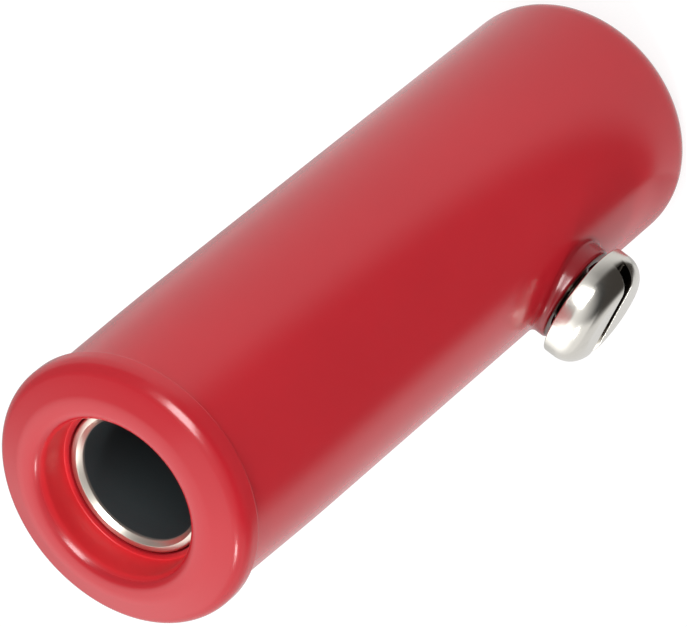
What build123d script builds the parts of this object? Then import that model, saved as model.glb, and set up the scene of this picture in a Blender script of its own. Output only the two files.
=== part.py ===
from build123d import *

import os
from math import radians, tan

# In-line socket for 4 mm plugs: a moulded sleeve round a turned contact, which is bored for
# the plug at the front and for the wire at the rear, with a clamp screw from the side.
# Millimetres. The bore axis is Z, +Z points out of the mouth, and the origin is the centre
# of the contact's mouth. The socket stands on its rear end, and its screw looks along +X.

# Contact
plug_bore_diameter = 4.05
plug_bore_depth = 15.0
tube_wall = 0.355
mouth_chamfer = 0.14
tube_edge_radius = 0.08
shoulder_height = 0.42
barrel_overlap = 2.0
bore_floor = 1.5
wire_bore_diameter = 2.3
wire_bore_depth = 6.8
wire_countersink = 0.3
drill_point_angle = 118.0
barrel_chamfer = 0.25

# Sleeve
sleeve_wall = 1.35
sleeve_clearance = 0.05
recess_depth = 1.3
recess_gap = 0.22
recess_edge_radius = 0.42
face_width = 0.7
face_edge_radius = 1.0
face_drop = 0.44
lip_height = 0.175
lip_length = 1.18
lip_edge_radius = 0.6
lip_back_radius = 0.08
waist_depth = 0.07
waist_length = 5.5
cable_recess_depth = 2.0
cable_edge_radius = 0.15
rear_edge_radius = 1.1
boss_wall = 0.45
boss_height = 0.3
boss_foot_radius = 0.18
boss_rim_radius = 0.1

# Clamp screw, backed off so that its tip is clear of the wire bore
thread_diameter = 2.0
thread_clearance = 0.04
screw_from_floor = 1.5
tip_set_back = 0.05
tip_chamfer = 0.2
head_diameter = 3.9
head_height = 1.16
head_edge_radius = 0.77
head_gap = 0.24
slot_width = 0.5
slot_depth = 0.6
slot_angle = 84.0
side_hole_clearance = 0.2
side_hole_edge_radius = 0.1

# Radii that follow
plug_bore_radius = plug_bore_diameter / 2
wire_bore_radius = wire_bore_diameter / 2
tube_radius = plug_bore_radius + tube_wall
tube_seat_radius = tube_radius + sleeve_clearance
barrel_radius = tube_radius + shoulder_height
barrel_seat_radius = barrel_radius + sleeve_clearance
sleeve_radius = barrel_seat_radius + sleeve_wall
lip_radius = sleeve_radius + lip_height
waist_radius = sleeve_radius - waist_depth
recess_radius = tube_radius + recess_gap
face_radius = recess_radius + face_width
thread_radius = thread_diameter / 2
tapped_radius = thread_radius + thread_clearance
side_hole_radius = thread_radius + side_hole_clearance
boss_radius = side_hole_radius + boss_wall
head_radius = head_diameter / 2

# Heights along Z, from the front face down
front_face_z = recess_depth
lip_edge_z = front_face_z - face_drop
lip_back_z = front_face_z - lip_length
waist_end_z = lip_back_z - waist_length
plug_floor_z = -plug_bore_depth
shoulder_z = plug_floor_z + barrel_overlap
wire_floor_z = plug_floor_z - bore_floor
screw_z = wire_floor_z - screw_from_floor
contact_rear_z = wire_floor_z - wire_bore_depth
sleeve_rear_z = contact_rear_z - cable_recess_depth

# Round edges, each limited by the wall that carries it
front_wall = lip_radius - recess_radius
mouth_round = min(recess_edge_radius, 0.25 * front_wall, 0.8 * face_width)
face_round = min(face_edge_radius, 0.6 * front_wall)
lip_round = min(lip_edge_radius, 0.4 * front_wall)
cable_round = min(cable_edge_radius, 0.4 * sleeve_wall)
rear_round = min(rear_edge_radius, 0.98 * (sleeve_wall - cable_round))
boss_foot_round = min(boss_foot_radius, 0.6 * boss_height)
boss_rim_round = min(boss_rim_radius, 0.35 * boss_height, 0.4 * boss_wall)
side_hole_round = min(side_hole_edge_radius, 0.4 * boss_wall)
head_round = min(head_edge_radius, 0.95 * head_height)

# Distances from the bore axis, out along the screw
tip_x = wire_bore_radius + tip_set_back
boss_root_x = barrel_seat_radius + sleeve_wall / 2
boss_top_x = sleeve_radius + boss_height
underside_x = boss_top_x + head_gap
head_top_x = underside_x + head_height

# Work plane of the screw: its Z runs out along the screw and its X up along the bore axis
screw_plane = Plane(origin=(0, 0, screw_z), x_dir=(0, 0, 1), z_dir=(1, 0, 0))

# Work planes of the round pieces, which start them on the side away from the screw
section_plane = Plane(origin=(0, 0, 0), x_dir=(-1, 0, 0), z_dir=(0, 1, 0))
mouth_plane = Plane(origin=(0, 0, 0), x_dir=(-1, 0, 0), z_dir=(0, 0, 1))
rear_plane = Plane(origin=(0, 0, contact_rear_z), x_dir=(-1, 0, 0), z_dir=(0, 0, -1))

# Insulating sleeve, one moulding: its half section turned about the bore axis
with BuildPart() as insulating_sleeve:
    with BuildSketch(section_plane):
        with BuildLine():
            # Recess round the contact's mouth, the face, its slope and the round lip
            front = FilletPolyline(
                (tube_seat_radius, 0),
                (recess_radius, 0),
                (recess_radius, front_face_z),
                (face_radius, front_face_z),
                (lip_radius, lip_edge_z),
                (lip_radius, lip_back_z),
                (waist_radius, lip_back_z),
                radius=(0, mouth_round, face_round, lip_round, lip_back_radius),
            )
            # Below the lip a shallow waist eases out to the straight body
            waist = Spline(front @ 1, (sleeve_radius, waist_end_z), tangents=((0, -1), (0, -1)))
            # Round rear end, then up the bore to the shoulder that stops the contact
            FilletPolyline(
                waist @ 1,
                (sleeve_radius, sleeve_rear_z),
                (barrel_seat_radius, sleeve_rear_z),
                (barrel_seat_radius, shoulder_z),
                (tube_seat_radius, shoulder_z),
                front @ 0,
                radius=(rear_round, cable_round, 0, 0),
            )
        make_face()
    revolve(axis=Axis.Z)
    # Low round boss under the screw's head, with a soft foot and rim
    with BuildSketch(screw_plane.offset(boss_root_x)):
        Circle(boss_radius)
    extrude(amount=boss_top_x - boss_root_x)
    boss_edges = insulating_sleeve.edges(Select.LAST).sort_by(Axis.X)
    fillet(boss_edges[0], boss_foot_round)
    fillet(insulating_sleeve.faces().sort_by(Axis.X)[-1].edges(), boss_rim_round)
    # Side hole for the screw through the boss, with a soft outer edge
    with Locations(screw_plane.offset(boss_top_x)):
        Hole(side_hole_radius, depth=boss_top_x)
    hole_edges = insulating_sleeve.edges(Select.LAST)
    fillet(hole_edges.sort_by(Axis.X)[-1], side_hole_round)

# Contact, one turned piece: a thin tube for the plug and a barrel for the wire and the screw
with BuildPart() as contact_socket:
    with BuildSketch(mouth_plane):
        Circle(tube_radius)
    extrude(amount=shoulder_z)
    with BuildSketch(mouth_plane.offset(shoulder_z)):
        Circle(barrel_radius)
    extrude(amount=contact_rear_z - shoulder_z)
    rear_edge = contact_socket.faces().sort_by(Axis.Z)[0].edges()
    chamfer(rear_edge, barrel_chamfer)
    # Plug bore from the front, with a lead-in and a broken outer edge
    with Locations(mouth_plane):
        Hole(plug_bore_radius, depth=plug_bore_depth)
    mouth_edges = contact_socket.faces().sort_by(Axis.Z)[-1].edges().sort_by(SortBy.RADIUS)
    chamfer(mouth_edges[0], mouth_chamfer)
    fillet(mouth_edges[-1], tube_edge_radius)
    # Wire bore from the rear, with a countersink and the drill's point
    with Locations(rear_plane):
        CounterSinkHole(
            wire_bore_radius,
            wire_bore_radius + wire_countersink,
            depth=wire_bore_depth,
            counter_sink_angle=90,
        )
    with Locations(mouth_plane.offset(wire_floor_z)):
        Cone(
            bottom_radius=wire_bore_radius,
            top_radius=0,
            height=wire_bore_radius / tan(radians(drill_point_angle / 2)),
            align=(Align.CENTER, Align.CENTER, Align.MIN),
            mode=Mode.SUBTRACT,
        )
    # Tapped hole for the clamp screw, through one side of the barrel into the wire bore
    with Locations(screw_plane.offset(barrel_radius)):
        Hole(tapped_radius, depth=barrel_radius)

# Clamp screw, a slotted pan head on a plain shank of the thread's outer diameter
with BuildPart() as clamp_screw:
    with BuildSketch(screw_plane.offset(tip_x)):
        Circle(thread_radius)
    extrude(amount=underside_x - tip_x)
    tip_edge = clamp_screw.edges().sort_by(Axis.X)[0]
    chamfer(tip_edge, tip_chamfer)
    with BuildSketch(screw_plane.offset(underside_x)):
        Circle(head_radius)
    extrude(amount=head_height)
    head_edge = clamp_screw.edges().sort_by(Axis.X)[-1]
    fillet(head_edge, head_round)
    with BuildSketch(screw_plane.offset(head_top_x)):
        Rectangle(2 * head_diameter, slot_width, rotation=slot_angle)
    extrude(amount=-slot_depth, mode=Mode.SUBTRACT)

insulating_sleeve.part.label = "insulating_sleeve"
contact_socket.part.label = "contact_socket"
clamp_screw.part.label = "clamp_screw"

os.makedirs("parts", exist_ok=True)
export_step(insulating_sleeve.part, "parts/insulating_sleeve.step")
export_step(contact_socket.part, "parts/contact_socket.step")
export_step(clamp_screw.part, "parts/clamp_screw.step")

print(f"body {2 * sleeve_radius:.2f} mm across, {front_face_z - sleeve_rear_z:.2f} mm long")
print(f"screw at z = {screw_z:.2f} mm, its head out to x = {head_top_x:.2f} mm")
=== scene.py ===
"""Looks of an in-line socket for 4 mm plugs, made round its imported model.

Sizes in the classes are millimetres and the meshes are metres. The bore axis is Z with the
mouth up, the origin is the centre of the contact's mouth, and the screw looks along +X.
"""

import logging
from collections.abc import Sequence
from dataclasses import dataclass
from enum import Enum

import bmesh
import bpy
import numpy as np
from mathutils import Matrix, Vector

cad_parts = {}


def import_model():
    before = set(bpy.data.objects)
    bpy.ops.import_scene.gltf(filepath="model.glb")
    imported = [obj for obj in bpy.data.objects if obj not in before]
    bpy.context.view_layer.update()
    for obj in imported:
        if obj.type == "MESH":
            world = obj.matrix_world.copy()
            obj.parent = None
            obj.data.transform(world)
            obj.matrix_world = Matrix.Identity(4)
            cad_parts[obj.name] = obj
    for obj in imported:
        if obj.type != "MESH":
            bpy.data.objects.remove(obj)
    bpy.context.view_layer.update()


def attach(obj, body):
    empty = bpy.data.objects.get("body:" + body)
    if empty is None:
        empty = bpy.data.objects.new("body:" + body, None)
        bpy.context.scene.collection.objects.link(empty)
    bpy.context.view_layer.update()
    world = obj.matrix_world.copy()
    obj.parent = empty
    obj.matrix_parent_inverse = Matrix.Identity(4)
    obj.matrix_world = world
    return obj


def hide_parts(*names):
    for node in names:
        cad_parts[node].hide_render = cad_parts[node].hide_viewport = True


LOG = logging.getLogger("socket")
MM = 0.001
MERGE = 2e-7

# Sizes that two pieces share, or a piece and its finish
SCREW_Z = -18.0
BODY_RADIUS = 4.2
RECESS_RADIUS = 2.6
BARREL_SEAT = 2.85
BOSS_RADIUS = 1.65
PLUG_BORE = 2.025
WIRE_BORE = 1.15
BARREL_RADIUS = 2.8
SHOULDER_Z = -13.0
CONTACT_REAR_Z = -23.3
SLEEVE_REAR_Z = -25.3
HEAD_UNDERSIDE = 4.74
HEAD_HEIGHT = 1.16
SLOT_DEPTH = 0.6
SLOT_ANGLE = 84.0

# Sockets of a Mix node that blends two colours: three inputs and its output
SHARE, FROM, TO, BLEND = 0, 6, 7, 2

Array = np.ndarray
Colour = tuple[float, float, float, float]
Triple = tuple[float, float, float]
WHITE: Colour = (1.0, 1.0, 1.0, 1.0)


class Body(Enum):
    """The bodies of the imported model."""

    SOCKET = "socket"
    SCREW = "screw"


class Slot(Enum):
    """The record's material slots."""

    PLASTIC = "red_plastic"
    BRASS = "plated_brass"
    STEEL = "plated_steel"


class Axis(Enum):
    """An axis to measure from, as the factors that keep what lies across it."""

    X = (0.0, 1.0, 1.0)
    Z = (1.0, 1.0, 0.0)


class Measure(Enum):
    """What is measured from an axis, as an operation and its output."""

    DISTANCE = ("LENGTH", "Value")
    DIRECTION = ("NORMALIZE", "Vector")


def linear(colour: str) -> Colour:
    """Turn an sRGB hex colour to linear light.

    A channel is divided by 12.92 up to 0.04045, and above it is raised to the power 2.4
    after 0.055 is added and the sum is divided by 1.055.

    Args:
        colour: "#RRGGBB".

    Returns:
        Red, green, blue and alpha.
    """
    channels = np.array([int(colour[i : i + 2], 16) for i in (1, 3, 5)]) / 255
    light = np.where(channels <= 0.04045, channels / 12.92, ((channels + 0.055) / 1.055) ** 2.4)
    return (*light.tolist(), 1.0)


def grey(level: float) -> Colour:
    """Grey of that linear level, with alpha."""
    return (level, level, level, 1.0)


def toward(azimuth: float, elevation: float) -> Vector:
    """Unit vector at an azimuth from +X towards +Y and an elevation, both in degrees."""
    around, up = np.radians(azimuth), np.radians(elevation)
    return Vector((np.cos(up) * np.cos(around), np.cos(up) * np.sin(around), np.sin(up)))


def new_material(name: str) -> tuple[bpy.types.Material, bpy.types.NodeTree]:
    """Make a material with no nodes yet.

    Args:
        name: the material's name.

    Returns:
        The material and its node tree.
    """
    material = bpy.data.materials.new(name)
    material.use_nodes = True
    material.node_tree.nodes.clear()
    return material, material.node_tree


def add_node(
    tree: bpy.types.NodeTree, kind: str, inputs: dict | None = None, **settings: object
) -> bpy.types.Node:
    """Add a node with its settings and links.

    Args:
        tree: the node tree that it goes into.
        kind: the node's type name.
        inputs: socket name or number to a value, or to an output socket that is linked to it.
        settings: the node's own properties.

    Returns:
        The node.
    """
    node = tree.nodes.new(kind)
    for name, value in settings.items():
        setattr(node, name, value)
    for key, value in (inputs or {}).items():
        if isinstance(value, bpy.types.NodeSocket):
            tree.links.new(value, node.inputs[key])
        else:
            node.inputs[key].default_value = value
    return node


def from_axis(
    tree: bpy.types.NodeTree,
    place: bpy.types.NodeSocket,
    centre: Triple,
    axis: Axis,
    measure: Measure,
) -> bpy.types.NodeSocket:
    """Measure a place from an axis: its offset from a centre, less the part along the axis.

    Args:
        tree: the node tree.
        place: the place or direction.
        centre: a point of the axis, in millimetres.
        axis: the way that the axis runs.
        measure: the distance from the axis, or the direction away from it.

    Returns:
        The socket with the measure.
    """
    operation, output = measure.value
    middle = Vector(centre) * MM
    off = add_node(tree, "ShaderNodeVectorMath", {0: place, 1: middle}, operation="SUBTRACT")
    across = add_node(
        tree, "ShaderNodeVectorMath", {0: off.outputs[0], 1: axis.value}, operation="MULTIPLY"
    )
    done = add_node(tree, "ShaderNodeVectorMath", {0: across.outputs[0]}, operation=operation)
    return done.outputs[output]


def within(
    tree: bpy.types.NodeTree, *limits: tuple[bpy.types.NodeSocket, float, float]
) -> bpy.types.NodeSocket:
    """Mask the places that lie within every limit, by the product of the limits' ramps.

    Args:
        tree: the node tree.
        limits: for each a length, and the millimetres where its ramp is 0 and where it is 1.

    Returns:
        The socket with the mask.
    """
    mask = None
    for length, none, full in limits:
        ramp = add_node(
            tree,
            "ShaderNodeMapRange",
            {"Value": length, "From Min": none * MM, "From Max": full * MM},
        ).outputs[0]
        if mask is not None:
            ramp = add_node(
                tree, "ShaderNodeMath", {0: mask, 1: ramp}, operation="MULTIPLY"
            ).outputs[0]
        mask = ramp
    return mask


def near(
    tree: bpy.types.NodeTree,
    direction: bpy.types.NodeSocket,
    middle: Vector,
    full: float,
    none: float,
) -> bpy.types.NodeSocket:
    """Mask the directions near a middle one, by the cosine of the angle between them.

    Args:
        tree: the node tree.
        direction: a direction of unit length.
        middle: the direction where the mask is 1.
        full: degrees from the middle up to which it stays 1.
        none: degrees from the middle where it has eased to 0.

    Returns:
        The socket with the mask.
    """
    cosine = add_node(
        tree, "ShaderNodeVectorMath", {0: direction, 1: middle}, operation="DOT_PRODUCT"
    ).outputs["Value"]
    return add_node(
        tree,
        "ShaderNodeMapRange",
        {
            "Value": cosine,
            "From Min": np.cos(np.radians(none)),
            "From Max": np.cos(np.radians(full)),
        },
        interpolation_type="SMOOTHSTEP",
    ).outputs[0]


def swing(start: Array, stop: Array, share: Array) -> Array:
    """Swing vectors from start to stop at an even angular speed.

    With w the angle between them, a vector is start times sin((1 - share) w) / sin(w) plus
    stop times sin(share w) / sin(w).

    Args:
        start: vectors, the last axis holds the components.
        stop: vectors of the same shape and length.
        share: 0 at start to 1 at stop, of a shape that spreads over the vectors.

    Returns:
        The swung vectors.
    """
    size = np.linalg.norm(start, axis=-1, keepdims=True)
    size = size * np.linalg.norm(stop, axis=-1, keepdims=True)
    angle = np.arccos(np.clip((start * stop).sum(-1, keepdims=True) / size, -1, 1))
    return (start * np.sin((1 - share) * angle) + stop * np.sin(share * angle)) / np.sin(angle)


def profile(corners: Sequence[Triple], steps: int, longest: float) -> Array:
    """Round the corners of a line in the half plane of a turned piece and divide its long runs.

    The arc at a corner touches both runs: it starts at radius / tan(half the inner angle)
    from the corner, and its centre is at radius / sin(half the inner angle) on the bisector.

    Args:
        corners: (radius, height, round) of each corner, where a round of 0 stays sharp.
        steps: pieces of each arc.
        longest: the longest run between two points.

    Returns:
        Points (radius, height) along the line.
    """
    points = [np.array(corner[:2], float) for corner in corners]
    laid = [points[0][None]]
    share = np.linspace(0, 1, steps + 1)[:, None]
    for before, here, after, corner in zip(points, points[1:], points[2:], corners[1:]):
        back = (before - here) / np.linalg.norm(before - here)
        on = (after - here) / np.linalg.norm(after - here)
        if corner[2] <= 0:
            laid.append(here[None])
            continue
        half = np.arccos(np.clip(back @ on, -1, 1)) / 2
        centre = here + (back + on) / np.linalg.norm(back + on) * corner[2] / np.sin(half)
        reach = corner[2] / np.tan(half)
        laid.append(centre + swing(here + back * reach - centre, here + on * reach - centre, share))
    laid.append(points[-1][None])
    line = np.concatenate(laid)
    runs = np.linalg.norm(np.diff(line, axis=0), axis=1)
    count = np.maximum(1, np.ceil(runs / longest)).astype(int)
    owner = np.repeat(np.arange(len(count)), count)
    part = (np.arange(count.sum()) - np.repeat(np.cumsum(count) - count, count)) / count[owner]
    divided = line[owner] + (line[owner + 1] - line[owner]) * part[:, None]
    return np.concatenate([divided, line[-1:]])


def turn(line: Array, angles: Array) -> Array:
    """Turn a profile about Z: x is radius cos(angle), y is radius sin(angle), z is height.

    Args:
        line: points (radius, height).
        angles: the angles of the columns, in radians.

    Returns:
        A grid of points, one row for each profile point.
    """
    radius, height = line[:, 0, None], line[:, 1, None]
    x, y = radius * np.cos(angles), radius * np.sin(angles)
    return np.stack([x, y, height + 0 * angles], axis=-1)


class Shell:
    """Grids of points that are welded into one closed mesh."""

    def __init__(self) -> None:
        """Start with no points."""
        self.points: list[Array] = []
        self.quads: list[Array] = []
        self.count = 0

    def add(self, grid: Array, skip: Array | None = None) -> None:
        """Add a grid of points with a face in each of its cells.

        Args:
            grid: points, rows by columns by 3.
            skip: True for the cells that stay open.
        """
        rows, columns = grid.shape[:2]
        index = self.count + np.arange(rows * columns).reshape(rows, columns)
        cells = np.stack([index[:-1, :-1], index[:-1, 1:], index[1:, 1:], index[1:, :-1]], axis=-1)
        self.quads.append(cells.reshape(-1, 4) if skip is None else cells[~skip])
        self.points.append(grid.reshape(-1, 3))
        self.count += rows * columns

    def build(self, name: str, crease: float) -> bpy.types.Object:
        """Weld the grids, turn every face outwards and make the object.

        Args:
            name: the object's name.
            crease: faces that meet at more than this many degrees meet in a sharp edge.

        Returns:
            The object, at the origin.
        """
        mesh = bpy.data.meshes.new(name)
        points = (np.concatenate(self.points) * MM).tolist()
        mesh.from_pydata(points, [], np.concatenate(self.quads).tolist())
        welded = bmesh.new()
        welded.from_mesh(mesh)
        bmesh.ops.remove_doubles(welded, verts=welded.verts, dist=MERGE)
        bmesh.ops.dissolve_degenerate(welded, edges=welded.edges, dist=MERGE)
        bmesh.ops.recalc_face_normals(welded, faces=welded.faces)
        open_edges = sum(not edge.is_manifold for edge in welded.edges)
        welded.to_mesh(mesh)
        welded.free()
        mesh.shade_smooth()
        mesh.set_sharp_from_angle(angle=np.radians(crease))
        made = bpy.data.objects.new(name, mesh)
        bpy.context.scene.collection.objects.link(made)
        LOG.info("%s: %d faces, %d open edges", name, len(mesh.polygons), open_edges)
        return made


@dataclass(frozen=True)
class Boss:
    """A low round boss on a turned wall, round the side hole."""

    radius: float
    top: float
    foot_round: float
    rim_round: float


@dataclass(frozen=True)
class SideHole:
    """A round hole that crosses the wall of a turned piece along +X, with or without a boss.

    The turned wall leaves a window open round the hole on its outside and on its inside.
    Each window is closed by rings that ease from its edge to the hole or to the boss's foot.
    Rows and columns count the window's cells, and the other counts are of rings.
    """

    height: float
    radius: float
    outer: float
    inner: float
    edge_round: float
    reach: float
    half_angle: float
    boss: Boss | None = None
    rows: int = 24
    columns: int = 40
    rest_share: int = 5
    patch_rings: int = 12
    patch_crowding: float = 0.8
    arc_rings: int = 9
    flat_rings: int = 4
    tube_rings: int = 8
    row_margin: float = 1e-6

    def stations(self) -> Array:
        """Heights of the rows of the window, from the top down."""
        return self.height + np.linspace(self.reach, -self.reach, self.rows + 1)

    def corners(self, radius: float) -> list[Triple]:
        """Profile corners at the window's rows on the wall of that radius."""
        return [(radius, z, 0.0) for z in self.stations()]

    def angles(self) -> Array:
        """Lay the columns once round, close together in the window, which comes first.

        Returns:
            Angles in radians, from one side of the window on round to that side again.
        """
        window = np.radians(self.half_angle)
        inside = np.linspace(-window, window, self.columns + 1)
        count = round(self.rest_share * self.columns * (1 - window / np.pi))
        rest = np.linspace(window, 2 * np.pi - window, count)
        return np.concatenate([inside, rest[1:]])

    def in_window(self, line: Array) -> Array:
        """Tell which cells of the turned wall lie in a window.

        Args:
            line: the wall's profile, points (radius, height).

        Returns:
            True or False for each cell, rows by columns.
        """
        at_wall = np.isclose(line[:, 0], self.outer) | np.isclose(line[:, 0], self.inner)
        in_rows = at_wall & (np.abs(line[:, 1] - self.height) < self.reach + self.row_margin)
        across = np.arange(len(self.angles()) - 1) < self.columns
        return (in_rows[:-1] & in_rows[1:])[:, None] & across[None]

    def loop(self) -> tuple[Array, Array, Array]:
        """Go once round the window's edge.

        Returns:
            Angle about Z and height of each point, and its bearing round the hole.
        """
        wide, high = np.arange(self.columns), np.arange(self.rows)
        column = np.concatenate([wide, 0 * high + self.columns, self.columns - wide, 0 * high, [0]])
        row = np.concatenate([0 * wide, high, 0 * wide + self.rows, self.rows - high, [0]])
        bearing = np.arctan2(2 * column / self.columns - 1, 1 - 2 * row / self.rows)
        return self.angles()[column], self.stations()[row], bearing

    def patch(self, wall: float, swell: float, ball: float) -> Array:
        """Rings from the window's edge to the line where a ball touches the wall.

        The ball rolls round the hole. The rings go straight from the window to that line on
        the unrolled wall, and are laid back on the cylinder.

        Args:
            wall: radius of the turned wall.
            swell: distance of the ball's centre from the hole's axis.
            ball: distance of the ball's centre from the turning axis.

        Returns:
            A grid of points, one row for each ring.
        """
        angle, height, bearing = self.loop()
        goal = np.arcsin(swell * np.sin(bearing) / ball)
        share = np.linspace(0, 1, self.patch_rings)[:, None] ** self.patch_crowding
        around = angle + (goal - angle) * share
        up = height + (self.height + swell * np.cos(bearing) - height) * share
        return np.stack([wall * np.cos(around), wall * np.sin(around), up], axis=-1)

    def ball_centres(self, swell: float, ball: float) -> Array:
        """Centres of the rolling ball: x is the root of ball squared less y squared.

        Args:
            swell: distance of the ball's centre from the hole's axis.
            ball: distance of the ball's centre from the turning axis.

        Returns:
            A centre for each point of the loop, with z measured from the hole's axis.
        """
        bearing = self.loop()[2]
        y = swell * np.sin(bearing)
        return np.stack([np.sqrt(ball**2 - y**2), y, swell * np.cos(bearing)], axis=-1)

    def ring_arc(self, radius: float, out: float, edge: float, start: float, stop: float) -> Array:
        """An arc turned about the hole's axis.

        Args:
            radius: distance of the arc's centre from the hole's axis.
            out: distance of the arc's centre along the hole.
            edge: the arc's radius.
            start: first direction in degrees, where 0 looks away from the hole's axis and 90
                looks out along it.
            stop: last direction in degrees.

        Returns:
            A grid of points, one row for each ring.
        """
        bearing = self.loop()[2]
        share = np.radians(np.linspace(start, stop, self.arc_rings))[:, None]
        away = radius + edge * np.cos(share) + 0 * bearing
        along = out + edge * np.sin(share) + 0 * bearing
        return np.stack([along, away * np.sin(bearing), away * np.cos(bearing)], axis=-1)

    def wall_edge(self) -> Array:
        """Rings over the round edge between the turned wall and a hole with no boss.

        The ball is inside the wall. The edge swings its radius from straight out of the wall
        to straight in to the hole's axis.

        Returns:
            A grid of points, one row for each ring.
        """
        swell, sunk = self.radius + self.edge_round, self.outer - self.edge_round
        centre = self.ball_centres(swell, sunk)
        share = np.linspace(0, 1, self.arc_rings)[:, None, None]
        outward, inward = centre * [1, 1, 0] / sunk, -centre * [0, 1, 1] / swell
        return centre + self.edge_round * swing(outward, inward, share)

    def boss_rings(self, boss: Boss) -> Array:
        """Rings from the boss's foot up its flank, over its rim and flat top, and into the hole.

        The ball of the foot is outside the wall, so its radius swings from straight in to
        the turning axis to straight in to the hole's axis.

        Args:
            boss: the boss.

        Returns:
            A grid of points, one row for each ring.
        """
        swell, ball = boss.radius + boss.foot_round, self.outer + boss.foot_round
        centre = self.ball_centres(swell, ball)
        share = np.linspace(0, 1, self.arc_rings)[:, None, None]
        to_turning_axis, to_hole_axis = -centre * [1, 1, 0] / ball, -centre * [0, 1, 1] / swell
        foot = centre + boss.foot_round * swing(to_turning_axis, to_hole_axis, share)
        rim, edge = boss.rim_round, self.edge_round
        rim = self.ring_arc(boss.radius - rim, boss.top - rim, rim, 0, 90)
        mouth = self.ring_arc(self.radius + edge, boss.top - edge, edge, 90, 180)
        between = np.linspace(0, 1, self.flat_rings)[1:-1, None, None]
        flank = foot[-1] + (rim[0] - foot[-1]) * between
        flat = rim[-1] + (mouth[0] - rim[-1]) * between
        return np.concatenate([foot, flank, rim, flat, mouth])

    def bore(self) -> Array:
        """Rings from the outer wall to the inner wall, through the hole.

        The inner end lies where x is the root of inner squared less y squared.

        Returns:
            A grid of points, one row for each ring.
        """
        bearing = self.loop()[2]
        edge = self.boss_rings(self.boss) if self.boss else self.wall_edge()
        y, z = self.radius * np.sin(bearing), self.radius * np.cos(bearing)
        goal = np.stack([np.sqrt(self.inner**2 - y**2), y, z], axis=-1)
        share = np.linspace(0, 1, self.tube_rings)[1:, None, None]
        tube = edge[-1] + (goal - edge[-1]) * share
        return np.concatenate([edge, tube]) + [0, 0, self.height]

    def close(self, shell: Shell, line: Array) -> None:
        """Add the turned wall and close both of its windows round the hole.

        Args:
            shell: the shell that the grids go into.
            line: the wall's profile, points (radius, height).
        """
        grid = turn(line, self.angles())
        grid[:, -1] = grid[:, 0]
        shell.add(grid, self.in_window(line))
        if self.boss:
            swell, ball = self.boss.radius + self.boss.foot_round, self.outer + self.boss.foot_round
        else:
            swell, ball = self.radius + self.edge_round, self.outer - self.edge_round
        shell.add(self.patch(self.outer, swell, ball))
        shell.add(self.bore())
        shell.add(self.patch(self.inner, self.radius, self.inner))


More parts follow.
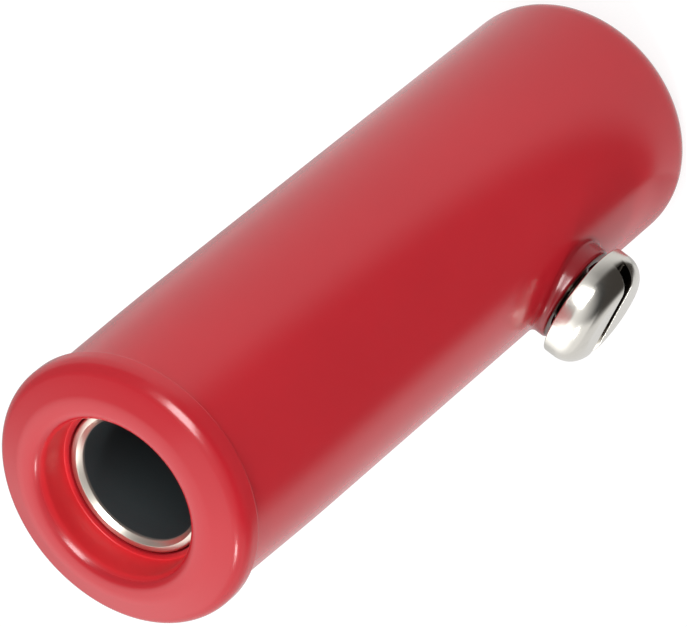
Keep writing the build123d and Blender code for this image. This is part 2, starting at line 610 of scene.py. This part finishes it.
@dataclass(frozen=True)
class MouldedPvc:
    """Glossy PVC, injection moulded: an even red with a faint waviness of the polished mould.

    It is matt in the recess and the bore behind it, where the mould's core isn't polished. Its
    colour is lighter on the recess's wall, a painted light, and darker on the boss under the
    screw's head, a painted shade.
    """

    red: str = "#B8212B"
    deep_red: str = "#AE1D27"
    recess_light_red: str = "#DC2A32"
    boss_shade_red: str = "#84161E"
    roughness: float = 0.2
    roughness_spread: float = 0.04
    core_roughness: float = 0.42
    index: float = 1.5
    wave_height: float = 0.003
    grain_height: float = 0.0006

    def make(self) -> bpy.types.Material:
        """Make the material.

        Returns:
            The material.
        """
        material, tree = new_material("red_pvc_injection_moulded")
        place = add_node(tree, "ShaderNodeTexCoord").outputs["Object"]
        # Flow of the melt, in clouds about 5 mm across that change the red slightly
        flow = add_node(
            tree, "ShaderNodeTexNoise", {"Vector": place, "Scale": 200.0, "Detail": 2.0}
        )
        # Waves of the mould's polish, about 1.2 mm long, of a few thousandths of a millimetre
        wave = add_node(
            tree, "ShaderNodeTexNoise", {"Vector": place, "Scale": 830.0, "Detail": 1.0}
        )
        # Grain of the skin, 0.12 mm across
        grain = add_node(
            tree, "ShaderNodeTexNoise", {"Vector": place, "Scale": 8300.0, "Detail": 2.0}
        )
        # Distances from the bore axis, from the screw's axis, and out along the screw
        radius = from_axis(tree, place, (0.0, 0.0, 0.0), Axis.Z, Measure.DISTANCE)
        beside = from_axis(tree, place, (0.0, 0.0, SCREW_Z), Axis.X, Measure.DISTANCE)
        out = add_node(tree, "ShaderNodeSeparateXYZ", {"Vector": place}).outputs[0]
        core_limit = (radius, RECESS_RADIUS + 0.12, RECESS_RADIUS + 0.02)
        wall_limit = (radius, RECESS_RADIUS - 0.15, RECESS_RADIUS - 0.02)
        core = within(tree, core_limit)
        # The lighter red on the recess's wall is painted light
        lit = within(tree, core_limit, wall_limit)
        # The darker red on the boss under the screw's head is painted shade
        head_shade = within(
            tree,
            (beside, BOSS_RADIUS + 0.22, BOSS_RADIUS + 0.02),
            (out, BODY_RADIUS - 0.6, BODY_RADIUS - 0.3),
        )
        # Each red covers the ones before it by its share
        skin_red = linear(self.red)
        for share, over in (
            (flow.outputs["Fac"], linear(self.deep_red)),
            (lit, linear(self.recess_light_red)),
            (head_shade, linear(self.boss_shade_red)),
        ):
            skin_red = add_node(
                tree, "ShaderNodeMix", {SHARE: share, FROM: skin_red, TO: over}, data_type="RGBA"
            ).outputs[BLEND]
        polish = add_node(
            tree,
            "ShaderNodeMapRange",
            {
                "Value": grain.outputs["Fac"],
                "To Min": self.roughness - self.roughness_spread,
                "To Max": self.roughness + self.roughness_spread,
            },
        )
        gloss = add_node(
            tree,
            "ShaderNodeMix",
            {"Factor": core, "A": polish.outputs[0], "B": self.core_roughness},
        )
        waves = add_node(
            tree,
            "ShaderNodeBump",
            {"Height": wave.outputs["Fac"], "Distance": self.wave_height * MM, "Strength": 1.0},
        )
        skin = add_node(
            tree,
            "ShaderNodeBump",
            {
                "Height": grain.outputs["Fac"],
                "Distance": self.grain_height * MM,
                "Strength": 1.0,
                "Normal": waves.outputs["Normal"],
            },
        )
        shader = add_node(
            tree,
            "ShaderNodeBsdfPrincipled",
            {
                "Base Color": skin_red,
                "Roughness": gloss.outputs[0],
                "IOR": self.index,
                "Normal": skin.outputs["Normal"],
            },
        )
        add_node(tree, "ShaderNodeOutputMaterial", {"Surface": shader.outputs["BSDF"]})
        return material


@dataclass(frozen=True)
class TurnedNickel:
    """Nickel plate on turned metal: a warm bright grey over fine rings left by the tool.

    It is darker, duller and less metallic in the bores, inside the mouth's chamfer and the rear
    countersink.
    """

    name: str
    colour: str
    dark_colour: str
    roughness: float
    ring_spacing: float
    ring_height: float
    roughness_spread: float = 0.05
    bore_colour: str = "#3C4446"
    bore_roughness: float = 0.5
    bore_metal: float = 0.15

    def make(self) -> bpy.types.Material:
        """Make the material.

        Returns:
            The material.
        """
        material, tree = new_material(self.name)
        place = add_node(tree, "ShaderNodeTexCoord").outputs["Object"]
        # Rings across the turning axis, one for each feed of the tool. The texture's waves
        # are 2 pi long in 20 times the scaled place
        rings = add_node(
            tree,
            "ShaderNodeTexWave",
            {
                "Vector": place,
                "Scale": 2 * np.pi / (20 * self.ring_spacing * MM),
                "Distortion": 1.2,
                "Detail": 2.0,
                "Detail Scale": 2.0,
            },
            wave_type="BANDS",
            bands_direction="Z",
        )
        # Thin and thick plate, in patches about 0.8 mm across
        patch = add_node(
            tree, "ShaderNodeTexNoise", {"Vector": place, "Scale": 1250.0, "Detail": 3.0}
        )
        radius = from_axis(tree, place, (0.0, 0.0, 0.0), Axis.Z, Measure.DISTANCE)
        height = add_node(tree, "ShaderNodeSeparateXYZ", {"Vector": place}).outputs[2]
        # Darker, duller and less metallic inside the bores
        bore_mask = within(
            tree,
            (radius, PLUG_BORE + 0.035, PLUG_BORE + 0.005),
            (height, -0.1, -0.25),
            (height, CONTACT_REAR_Z, CONTACT_REAR_Z + 0.1),
        )
        skin = linear(self.colour)
        for share, over in (
            (patch.outputs["Fac"], linear(self.dark_colour)),
            (bore_mask, linear(self.bore_colour)),
        ):
            skin = add_node(
                tree, "ShaderNodeMix", {SHARE: share, FROM: skin, TO: over}, data_type="RGBA"
            ).outputs[BLEND]
        metal = add_node(
            tree, "ShaderNodeMapRange", {"Value": bore_mask, "To Min": 1.0, "To Max": self.bore_metal}
        )
        smooth = add_node(
            tree,
            "ShaderNodeMapRange",
            {
                "Value": patch.outputs["Fac"],
                "To Min": self.roughness - self.roughness_spread,
                "To Max": self.roughness + self.roughness_spread,
            },
        )
        gloss = add_node(
            tree,
            "ShaderNodeMix",
            {"Factor": bore_mask, "A": smooth.outputs[0], "B": self.bore_roughness},
        )
        relief = add_node(
            tree,
            "ShaderNodeBump",
            {"Height": rings.outputs["Fac"], "Distance": self.ring_height * MM, "Strength": 1.0},
        )
        shader = add_node(
            tree,
            "ShaderNodeBsdfPrincipled",
            {
                "Base Color": skin,
                "Metallic": metal.outputs[0],
                "Roughness": gloss.outputs[0],
                "Normal": relief.outputs["Normal"],
            },
        )
        add_node(tree, "ShaderNodeOutputMaterial", {"Surface": shader.outputs["BSDF"]})
        return material


@dataclass(frozen=True)
class BrightNickel:
    """Nickel plate on a rolled and tumbled steel screw: bright, with a few fine scratches.

    Its colour is darker on the shank under the head and on the slot's walls and floor, a
    painted shade, and stays bright at one end of the slot.
    """

    colour: str = "#E2DED6"
    painted_shade_colour: str = "#4A453E"
    roughness: float = 0.19
    polished_by: float = 0.04
    scratched_by: float = 0.06
    scratch_height: float = 0.0005
    slot_side: tuple[float, float] = (0.262, 0.252)
    slot_end: tuple[float, float] = (1.1, 0.8)
    skirt: float = 0.02

    def make(self) -> bpy.types.Material:
        """Make the material.

        Returns:
            The material.
        """
        material, tree = new_material("steel_nickel_plated_bright")
        place = add_node(tree, "ShaderNodeTexCoord").outputs["Object"]
        # Tumbling marks, 0.06 mm wide and some ten times as long
        long_way = add_node(
            tree,
            "ShaderNodeMapping",
            {"Vector": place, "Rotation": (0.4, 0.3, 0.7), "Scale": (1.0, 10.0, 10.0)},
        )
        marks = add_node(
            tree,
            "ShaderNodeTexNoise",
            {"Vector": long_way.outputs["Vector"], "Scale": 1600.0, "Detail": 3.0},
        )
        gloss = add_node(
            tree,
            "ShaderNodeMapRange",
            {
                "Value": marks.outputs["Fac"],
                "To Min": self.roughness - self.polished_by,
                "To Max": self.roughness + self.scratched_by,
            },
        )
        relief = add_node(
            tree,
            "ShaderNodeBump",
            {
                "Height": marks.outputs["Fac"],
                "Distance": self.scratch_height * MM,
                "Strength": 1.0,
            },
        )
        # Distances across the slot and along it, from the screw's axis, and out along the screw
        turned = np.radians(SLOT_ANGLE)
        off = add_node(
            tree,
            "ShaderNodeVectorMath",
            {0: place, 1: (0.0, 0.0, SCREW_Z * MM)},
            operation="SUBTRACT",
        ).outputs[0]
        side, along = (
            add_node(
                tree, "ShaderNodeVectorMath", {0: off, 1: way}, operation="DOT_PRODUCT"
            ).outputs["Value"]
            for way in (
                (0.0, np.cos(turned), np.sin(turned)),
                (0.0, -np.sin(turned), np.cos(turned)),
            )
        )
        across = add_node(tree, "ShaderNodeMath", {0: side}, operation="ABSOLUTE").outputs[0]
        out = add_node(tree, "ShaderNodeSeparateXYZ", {"Vector": place}).outputs[0]
        top = HEAD_UNDERSIDE + HEAD_HEIGHT
        floor = top - SLOT_DEPTH
        # Painted shade on the slot's walls and floor, short of one end of the slot
        slot = within(
            tree,
            (across, *self.slot_side),
            (along, *self.slot_end),
            (out, top - self.skirt, top - 0.05),
            (out, floor - self.skirt, floor - 0.01),
        )
        # Painted shade on the shank under the head, in the gap above the boss
        shank = within(tree, (out, HEAD_UNDERSIDE, HEAD_UNDERSIDE - self.skirt))
        painted_shade = add_node(tree, "ShaderNodeMath", {0: slot, 1: shank}, operation="MAXIMUM")
        plate = add_node(
            tree,
            "ShaderNodeMix",
            {SHARE: painted_shade.outputs[0], FROM: linear(self.colour), TO: linear(self.painted_shade_colour)},
            data_type="RGBA",
        )
        shader = add_node(
            tree,
            "ShaderNodeBsdfPrincipled",
            {
                "Base Color": plate.outputs[BLEND],
                "Metallic": 1.0,
                "Roughness": gloss.outputs["Result"],
                "Normal": relief.outputs["Normal"],
            },
        )
        add_node(tree, "ShaderNodeOutputMaterial", {"Surface": shader.outputs["BSDF"]})
        return material


def dress(
    piece: bpy.types.Object, material: bpy.types.Material, body: Body, node: str
) -> None:
    """Give a piece its material, let it stand for its node and ride on its body.

    Args:
        piece: the piece.
        material: its material.
        body: the body that carries it.
        node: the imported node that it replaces.
    """
    piece.data.materials.append(material)
    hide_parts(node)
    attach(piece, body.value)


@dataclass(frozen=True)
class InsulatingSleeve:
    """The moulded sleeve, from the recess at its mouth to its open rear end."""

    tube_seat: float = 2.43
    lip: float = 4.375
    lip_length: float = 1.18
    lip_round: float = 0.6
    lip_back_round: float = 0.08
    face: float = 3.3
    face_round: float = 1.0
    face_drop: float = 0.44
    waist: float = 4.13
    waist_length: float = 5.5
    waist_rows: int = 16
    recess_depth: float = 1.3
    recess_round: float = 0.42
    recess_floor_round: float = 0.04
    waist_round: float = 0.03
    rear_round: float = 1.1
    cable_round: float = 0.15
    hole: SideHole = SideHole(
        height=SCREW_Z,
        radius=1.2,
        outer=BODY_RADIUS,
        inner=BARREL_SEAT,
        edge_round=0.1,
        reach=2.4,
        half_angle=38.0,
        boss=Boss(radius=BOSS_RADIUS, top=4.5, foot_round=0.18, rim_round=0.1),
    )

    def section(self) -> Array:
        """The closed half section. The waist's radius follows 3 t squared less 2 t cubed.

        Returns:
            Points (radius, height).
        """
        back = self.recess_depth - self.lip_length
        t = np.linspace(0, 1, self.waist_rows)[1:]
        ease = self.waist + (BODY_RADIUS - self.waist) * t**2 * (3 - 2 * t)
        waist = [(r, back - self.waist_length * s, 0.0) for r, s in zip(ease, t)]
        corners = [
            (self.tube_seat, 0.0, 0.0),
            (RECESS_RADIUS, 0.0, self.recess_floor_round),
            (RECESS_RADIUS, self.recess_depth, self.recess_round),
            (self.face, self.recess_depth, self.face_round),
            (self.lip, self.recess_depth - self.face_drop, self.lip_round),
            (self.lip, back, self.lip_back_round),
            (self.waist, back, self.waist_round),
            *waist,
            *self.hole.corners(BODY_RADIUS),
            (BODY_RADIUS, SLEEVE_REAR_Z, self.rear_round),
            (BARREL_SEAT, SLEEVE_REAR_Z, self.cable_round),
            *self.hole.corners(BARREL_SEAT)[::-1],
            (BARREL_SEAT, SHOULDER_Z, 0.0),
            (self.tube_seat, SHOULDER_Z, 0.0),
            (self.tube_seat, 0.0, 0.0),
        ]
        return profile(corners, steps=12, longest=0.5)

    def build(self) -> bpy.types.Object:
        """Turn the section and open the side hole.

        Returns:
            The sleeve.
        """
        shell = Shell()
        self.hole.close(shell, self.section())
        return shell.build("moulded_sleeve", crease=40)


@dataclass(frozen=True)
class ContactSocket:
    """The turned contact: a thin tube for the plug, and a barrel for wire and screw."""

    plug_floor: float = -15.0
    plug_floor_round: float = 0.1
    mouth_chamfer: float = 0.14
    tube: float = 2.38
    tube_round: float = 0.08
    barrel_chamfer: float = 0.25
    wire_floor: float = -16.5
    countersink: float = 0.3
    drill_tip: float = 0.691
    chamfer_round: float = 0.02
    barrel_round: float = 0.03
    hole: SideHole = SideHole(
        height=SCREW_Z,
        radius=1.04,
        outer=BARREL_RADIUS,
        inner=WIRE_BORE,
        edge_round=0.06,
        reach=1.35,
        half_angle=76.0,
    )

    def section(self) -> Array:
        """The half section, from the middle of the plug bore's floor to the wire bore's tip.

        Returns:
            Points (radius, height).
        """
        corners = [
            (0.0, self.plug_floor, 0.0),
            (PLUG_BORE, self.plug_floor, self.plug_floor_round),
            (PLUG_BORE, -self.mouth_chamfer, self.chamfer_round),
            (PLUG_BORE + self.mouth_chamfer, 0.0, self.chamfer_round),
            (self.tube, 0.0, self.tube_round),
            (self.tube, SHOULDER_Z, 0.0),
            (BARREL_RADIUS, SHOULDER_Z, self.barrel_round),
            *self.hole.corners(BARREL_RADIUS),
            (BARREL_RADIUS, CONTACT_REAR_Z + self.barrel_chamfer, self.barrel_round),
            (BARREL_RADIUS - self.barrel_chamfer, CONTACT_REAR_Z, self.barrel_round),
            (WIRE_BORE + self.countersink, CONTACT_REAR_Z, self.chamfer_round),
            (WIRE_BORE, CONTACT_REAR_Z + self.countersink, self.chamfer_round),
            *self.hole.corners(WIRE_BORE)[::-1],
            (WIRE_BORE, self.wire_floor, 0.0),
            (0.0, self.wire_floor + self.drill_tip, 0.0),
        ]
        return profile(corners, steps=6, longest=0.5)

    def build(self) -> bpy.types.Object:
        """Turn the section and open the tapped hole.

        Returns:
            The contact.
        """
        shell = Shell()
        self.hole.close(shell, self.section())
        return shell.build("turned_contact", crease=40)


@dataclass(frozen=True)
class ClampScrew:
    """The slotted pan-head screw, backed off so that its head stands clear of the boss.

    The thread's root and flank are shares of half a turn of it. Its neck is plain, and its
    shank reaches into the head so that the two overlap.
    """

    tip: float = 1.2
    thread: float = 1.0
    thread_depth: float = 0.24
    thread_root: float = 0.25
    thread_flank: float = 0.625
    pitch: float = 0.4
    tip_chamfer: float = 0.2
    neck: float = 0.35
    neck_fade: float = 0.15
    neck_sunk: float = 0.55
    shank_overlap: float = 0.2
    shank_rows: int = 190
    shank_columns: int = 97
    head: float = 1.95
    head_round: float = 0.77
    rim_round: float = 0.04
    slot_width: float = 0.5
    slot_edge: float = 0.035
    flat_rings: int = 26
    round_rings: int = 22
    under_rings: int = 18
    edge_slices: int = 6
    floor_slices: int = 5

    def lay(self, out: Array, across: Array, along: Array) -> Array:
        """Place points by their distances from the screw's axis.

        Args:
            out: distance out along the screw.
            across: distance across the slot.
            along: distance along the slot.

        Returns:
            The points.
        """
        sine, cosine = np.sin(np.radians(SLOT_ANGLE)), np.cos(np.radians(SLOT_ANGLE))
        y = across * cosine - along * sine
        z = SCREW_Z + across * sine + along * cosine
        return np.stack([out + 0 * y, y, z], axis=-1)

    def crown(self, radius: Array) -> Array:
        """Height of the head's top at a radius: flat, then a quarter circle down to the rim."""
        past = np.clip(radius - (self.head - self.head_round), 0, self.head_round)
        return HEAD_HEIGHT - self.head_round + np.sqrt(self.head_round**2 - past**2)

    def base(self, radius: Array) -> Array:
        """Height of the head's underside at a radius: flat, then a small quarter circle up."""
        past = np.clip(radius - (self.head - self.rim_round), 0, self.rim_round)
        return self.rim_round - np.sqrt(self.rim_round**2 - past**2)

    def slices(self, rings: Array) -> tuple[Array, Array, Array]:
        """Distances of the head's slices from the slot's middle, and how each is cut.

        They go from one side of the head to the other: beyond the slot, over its rounded
        edge, round the foot of its wall and across its floor.

        Args:
            rings: radii of the head's rings, which set the slices beyond the slot.

        Returns:
            For each slice its distance, how far it lies below the crown, and its greatest
            height, as columns.
        """
        half, edge = self.slot_width / 2, self.slot_edge
        floor = HEAD_HEIGHT - SLOT_DEPTH
        quarter = np.linspace(0, np.pi / 2, self.edge_slices)
        far, fall = 1 - np.sin(quarter), 1 - np.cos(quarter)
        beyond = rings[rings > half + edge * 1.5]
        inside = np.linspace(half - edge, 0, self.floor_slices)[1:]
        place = np.concatenate([beyond[::-1], half + edge * far, half - edge * fall, inside])
        drop = np.concatenate([0 * beyond, edge * fall, 0 * quarter + edge, 0 * inside + edge])
        uncut = np.full(len(beyond) + len(quarter), np.inf)
        cap = np.concatenate([uncut, floor + edge * far, 0 * inside + floor])
        place = np.concatenate([place, -place[-2::-1]])
        drop, cap = (np.concatenate([value, value[-2::-1]]) for value in (drop, cap))
        return place[:, None], drop[:, None], cap[:, None]

    def head_surface(self) -> Array:
        """The head as slices across the slot, each a closed line of points along the slot.

        A slice at distance s meets the ring of radius r at the root of r squared less
        s squared. In the slot the height is the lower of the crown, less the drop of the
        slot's rounded edge, and the cap that the slot's wall and floor set.

        Returns:
            A grid of points, one row for each slice.
        """
        bend = np.sin(np.linspace(0, np.pi / 2, self.round_rings))
        flat = self.head - self.head_round
        rings = [np.linspace(0, flat, self.flat_rings)[:-1], flat + self.head_round * bend]
        rings = np.concatenate(rings)
        low = self.head - self.rim_round
        under = [low + self.rim_round * bend[::-3], np.linspace(low, 0, self.under_rings)[1:]]
        under = np.concatenate(under)
        s, drop, cap = self.slices(rings)
        top_radius, low_radius = np.maximum(rings, np.abs(s)), np.maximum(under, np.abs(s))
        top = np.minimum(self.crown(top_radius) - drop, cap)
        radius = np.concatenate([top_radius, low_radius], axis=1)
        out = np.concatenate([top, self.base(low_radius)], axis=1)
        along = np.sqrt(np.maximum(radius**2 - s**2, 0))
        out = np.concatenate([out, out[:, ::-1]], axis=1)
        along = np.concatenate([along, -along[:, ::-1]], axis=1)
        return self.lay(HEAD_UNDERSIDE + out, s + 0 * along, along)

    def shank_surface(self) -> Array:
        """The threaded shank, from the middle of its tip into the head.

        The thread's radius follows the phase, distance over pitch less turns: it is the
        root's below a quarter, the crest's above seven eighths, and even between. A cone at
        the tip and a plain neck under the head limit it.

        Returns:
            A grid of points, one row for each ring.
        """
        end = HEAD_UNDERSIDE + self.shank_overlap
        distance = np.linspace(self.tip, end, self.shank_rows)[:, None]
        turns = np.linspace(0, 1, self.shank_columns)[None]
        phase = distance / self.pitch - turns
        rise = np.abs(2 * (phase - np.floor(phase)) - 1)
        flank = np.clip((rise - self.thread_root) / self.thread_flank, 0, 1)
        radius = self.thread - self.thread_depth * (1 - flank)
        cone = self.thread - self.tip_chamfer + (distance - self.tip)
        share = np.clip((distance - (HEAD_UNDERSIDE - self.neck)) / self.neck_fade, 0, 1)
        plain = self.thread - self.neck_sunk * self.thread_depth
        radius = np.minimum(radius, cone)
        radius = radius + (plain - radius) * share
        radius = np.concatenate([0 * radius[:1], radius, 0 * radius[:1]])
        distance = np.concatenate([distance[:1], distance, distance[-1:]])
        angle = 2 * np.pi * turns
        return self.lay(distance + 0 * angle, radius * np.cos(angle), radius * np.sin(angle))

    def build(self) -> bpy.types.Object:
        """Weld the head and the shank into one object.

        Returns:
            The screw.
        """
        shell = Shell()
        shell.add(self.head_surface())
        shell.add(self.shank_surface())
        return shell.build("slotted_screw", crease=38)


class LampUse(Enum):
    """What a lamp lights."""

    GLOSS = "reflections"
    MATT = "colours"


@dataclass(frozen=True)
class Lamp:
    """A flat lamp that looks at the middle of the socket."""

    name: str
    azimuth: float
    elevation: float
    width: float
    height: float
    power: float
    use: LampUse
    distance: float = 300.0

    def build(self, target: Vector) -> None:
        """Make the lamp. It isn't seen by the camera itself.

        Args:
            target: the point that it looks at, in metres.
        """
        light = bpy.data.lights.new(self.name, "AREA")
        light.shape = "RECTANGLE"
        light.size = self.width * MM
        light.size_y = self.height * MM
        light.energy = self.power
        lamp = bpy.data.objects.new(self.name, light)
        lamp.location = target + toward(self.azimuth, self.elevation) * self.distance * MM
        lamp.rotation_mode = "QUATERNION"
        lamp.rotation_quaternion = (target - lamp.location).to_track_quat("-Z", "Y")
        lamp.visible_camera = False
        lamp.visible_diffuse = self.use is LampUse.MATT
        lamp.visible_glossy = self.use is LampUse.GLOSS
        bpy.context.scene.collection.objects.link(lamp)


@dataclass(frozen=True)
class Studio:
    """The room, the floor, the lamps and the camera.

    The room has a bright ceiling, plain walls, a dim side at the left and a dark side behind
    the screw. The camera sees it white. The floor is white too where the camera sees it, and
    gloss sees a fan of dark card and a dim sector on it. Each side, and each part of the
    floor, is given by its azimuth and by the degrees where it is full and where it ends.
    """

    floor_reach: float = 900.0
    wall_level: float = 0.95
    ceiling_way: tuple[float, float] = (264.0, 48.0)
    ceiling_level: float = 1.75
    left_level: float = 0.3
    dark_level: float = 0.045
    paper: str = "#F2F2F2"
    paper_level: float = 0.8
    shade_level: float = 0.55
    card: Colour = (0.055, 0.05, 0.046, 1.0)
    fan_apex: Triple = (6.0, 1.0, 0.0)
    glow_share: float = 0.78
    glow_level: float = 1.08
    lamp_target: Triple = (0.0, 0.0, -6.0)
    focal_pixels: float = 5700.0
    image_width: float = 687.0
    sensor_width: float = 36.0
    front_face: Triple = (0.0, 0.0, 1.3)
    face_from_camera: Triple = (-6.730, -5.497, -165.26)
    right: Triple = (0.779, 0.313, -0.5427)
    up: Triple = (-0.585, 0.673, -0.4517)

    def camera(self) -> None:
        """Make the camera: the front face's centre is at face_from_camera in its own axes."""
        back = Vector(self.right).cross(Vector(self.up)).normalized()
        right = Vector(self.right).normalized()
        up = back.cross(right)
        turn_matrix = Matrix((right, up, back)).transposed()
        data = bpy.data.cameras.new("photo_camera")
        data.sensor_width = self.sensor_width
        data.lens = self.focal_pixels / self.image_width * self.sensor_width
        data.clip_start = 0.005
        data.clip_end = 10.0
        made = bpy.data.objects.new("photo_camera", data)
        place = Vector(self.front_face) - turn_matrix @ Vector(self.face_from_camera)
        made.matrix_world = Matrix.Translation(place * MM) @ turn_matrix.to_4x4()
        bpy.context.scene.collection.objects.link(made)
        bpy.context.scene.camera = made

    def world(self) -> None:
        """Make the room."""
        world = bpy.data.worlds.new("studio")
        bpy.context.scene.world = world
        world.use_nodes = True
        tree = world.node_tree
        tree.nodes.clear()
        direction = add_node(tree, "ShaderNodeTexCoord").outputs["Generated"]
        level_way = from_axis(tree, direction, (0.0, 0.0, 0.0), Axis.Z, Measure.DIRECTION)
        left = near(tree, level_way, toward(170.0, 0.0), full=40.0, none=75.0)
        ceiling = near(tree, direction, toward(*self.ceiling_way), full=18.0, none=48.0)
        sector = near(tree, level_way, toward(46.0, 0.0), full=42.0, none=66.0)
        # The dark side fades from a sine of elevation of 0.2 up to the zenith
        height = add_node(tree, "ShaderNodeSeparateXYZ", {"Vector": direction}).outputs[2]
        low = add_node(
            tree, "ShaderNodeMapRange", {"Value": height, "From Min": 1.0, "From Max": 0.2}
        )
        dark = add_node(
            tree, "ShaderNodeMath", {0: sector, 1: low.outputs[0]}, operation="MULTIPLY"
        )
        seen = add_node(tree, "ShaderNodeLightPath").outputs["Is Camera Ray"]
        # Each side covers the ones before it by its share
        colour = grey(self.wall_level)
        for share, over in (
            (left, grey(self.left_level)),
            (ceiling, grey(self.ceiling_level)),
            (dark.outputs[0], grey(self.dark_level)),
            (seen, WHITE),
        ):
            colour = add_node(
                tree, "ShaderNodeMix", {SHARE: share, FROM: colour, TO: over}, data_type="RGBA"
            ).outputs[BLEND]
        background = add_node(tree, "ShaderNodeBackground", {"Color": colour})
        add_node(tree, "ShaderNodeOutputWorld", {"Surface": background.outputs["Background"]})

    def floor(self) -> None:
        """Make the floor: a sheet of paper that glows, and is in shadow beside the object."""
        reach, height = self.floor_reach * MM, SLEEVE_REAR_Z * MM
        mesh = bpy.data.meshes.new("floor")
        signs = ((-1, -1), (1, -1), (1, 1), (-1, 1))
        mesh.from_pydata([(x * reach, y * reach, height) for x, y in signs], [], [(0, 1, 2, 3)])
        made = bpy.data.objects.new("floor", mesh)
        bpy.context.scene.collection.objects.link(made)
        material, tree = new_material("white_paper_matt")
        place = add_node(tree, "ShaderNodeTexCoord").outputs["Object"]
        away = from_axis(tree, place, self.fan_apex, Axis.Z, Measure.DIRECTION)
        fan = near(tree, away, toward(42.0, 0.0), full=45.0, none=78.0)
        shade = near(tree, away, toward(230.0, 0.0), full=14.0, none=36.0)
        path = add_node(tree, "ShaderNodeLightPath")
        mirrored = grey(self.paper_level)
        for share, over in ((shade, grey(self.shade_level)), (fan, self.card)):
            mirrored = add_node(
                tree, "ShaderNodeMix", {SHARE: share, FROM: mirrored, TO: over}, data_type="RGBA"
            ).outputs[BLEND]
        glow_colour = add_node(
            tree,
            "ShaderNodeMix",
            {SHARE: path.outputs["Is Glossy Ray"], FROM: WHITE, TO: mirrored},
            data_type="RGBA",
        ).outputs[BLEND]
        # The camera sees the glow by its share and lit paper by the rest, and gloss the glow
        seen = add_node(
            tree,
            "ShaderNodeMath",
            {0: path.outputs["Is Camera Ray"], 1: path.outputs["Is Transmission Ray"]},
            operation="ADD",
        )
        glow_part = add_node(
            tree,
            "ShaderNodeMath",
            {0: seen.outputs[0], 1: self.glow_share, 2: path.outputs["Is Glossy Ray"]},
            operation="MULTIPLY_ADD",
            use_clamp=True,
        )
        level = add_node(
            tree,
            "ShaderNodeMapRange",
            {"Value": path.outputs["Is Glossy Ray"], "To Min": self.glow_level, "To Max": 1.0},
        )
        paper = add_node(tree, "ShaderNodeBsdfDiffuse", {"Color": linear(self.paper)})
        glow = add_node(
            tree, "ShaderNodeEmission", {"Color": glow_colour, "Strength": level.outputs[0]}
        )
        mixed = add_node(
            tree,
            "ShaderNodeMixShader",
            {0: glow_part.outputs[0], 1: paper.outputs[0], 2: glow.outputs[0]},
        )
        add_node(tree, "ShaderNodeOutputMaterial", {"Surface": mixed.outputs[0]})
        mesh.materials.append(material)

    def lamps(self) -> None:
        """Place a window near the camera's side and a small lamp at the right.

        Each is two lamps: one for the highlights, and one for the light on the colours.
        """
        gloss, matt = LampUse.GLOSS, LampUse.MATT
        small = {"azimuth": -32.0, "elevation": 38.0, "width": 40.0, "height": 40.0}
        for lamp in (
            Lamp("window", 88.0, 42.0, width=115.0, height=180.0, power=0.85, use=gloss),
            Lamp("window_light", 98.0, 42.0, width=105.0, height=150.0, power=0.5, use=matt),
            Lamp("small_lamp", **small, power=0.12, use=gloss),
            Lamp("small_lamp_light", **small, power=0.3, use=matt),
        ):
            lamp.build(Vector(self.lamp_target) * MM)

    def build(self) -> None:
        """Make the whole studio."""
        bpy.context.scene.view_settings.view_transform = "Standard"
        self.camera()
        self.world()
        self.floor()
        self.lamps()


def main() -> None:
    """Build the socket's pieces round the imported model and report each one."""
    logging.basicConfig(level=logging.INFO, format="%(name)s: %(message)s")
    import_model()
    Studio().build()
    dress(
        InsulatingSleeve().build(),
        MouldedPvc().make(),
        Body.SOCKET,
        "insulating_sleeve",
    )
    brass = TurnedNickel(
        name="brass_turned_nickel_plated",
        colour="#E4DED3",
        dark_colour="#D2CBBE",
        roughness=0.3,
        ring_spacing=0.16,
        ring_height=0.0006,
    )
    dress(ContactSocket().build(), brass.make(), Body.SOCKET, "contact_socket")
    dress(ClampScrew().build(), BrightNickel().make(), Body.SCREW, "clamp_screw")


if __name__ == "__main__":
    main()
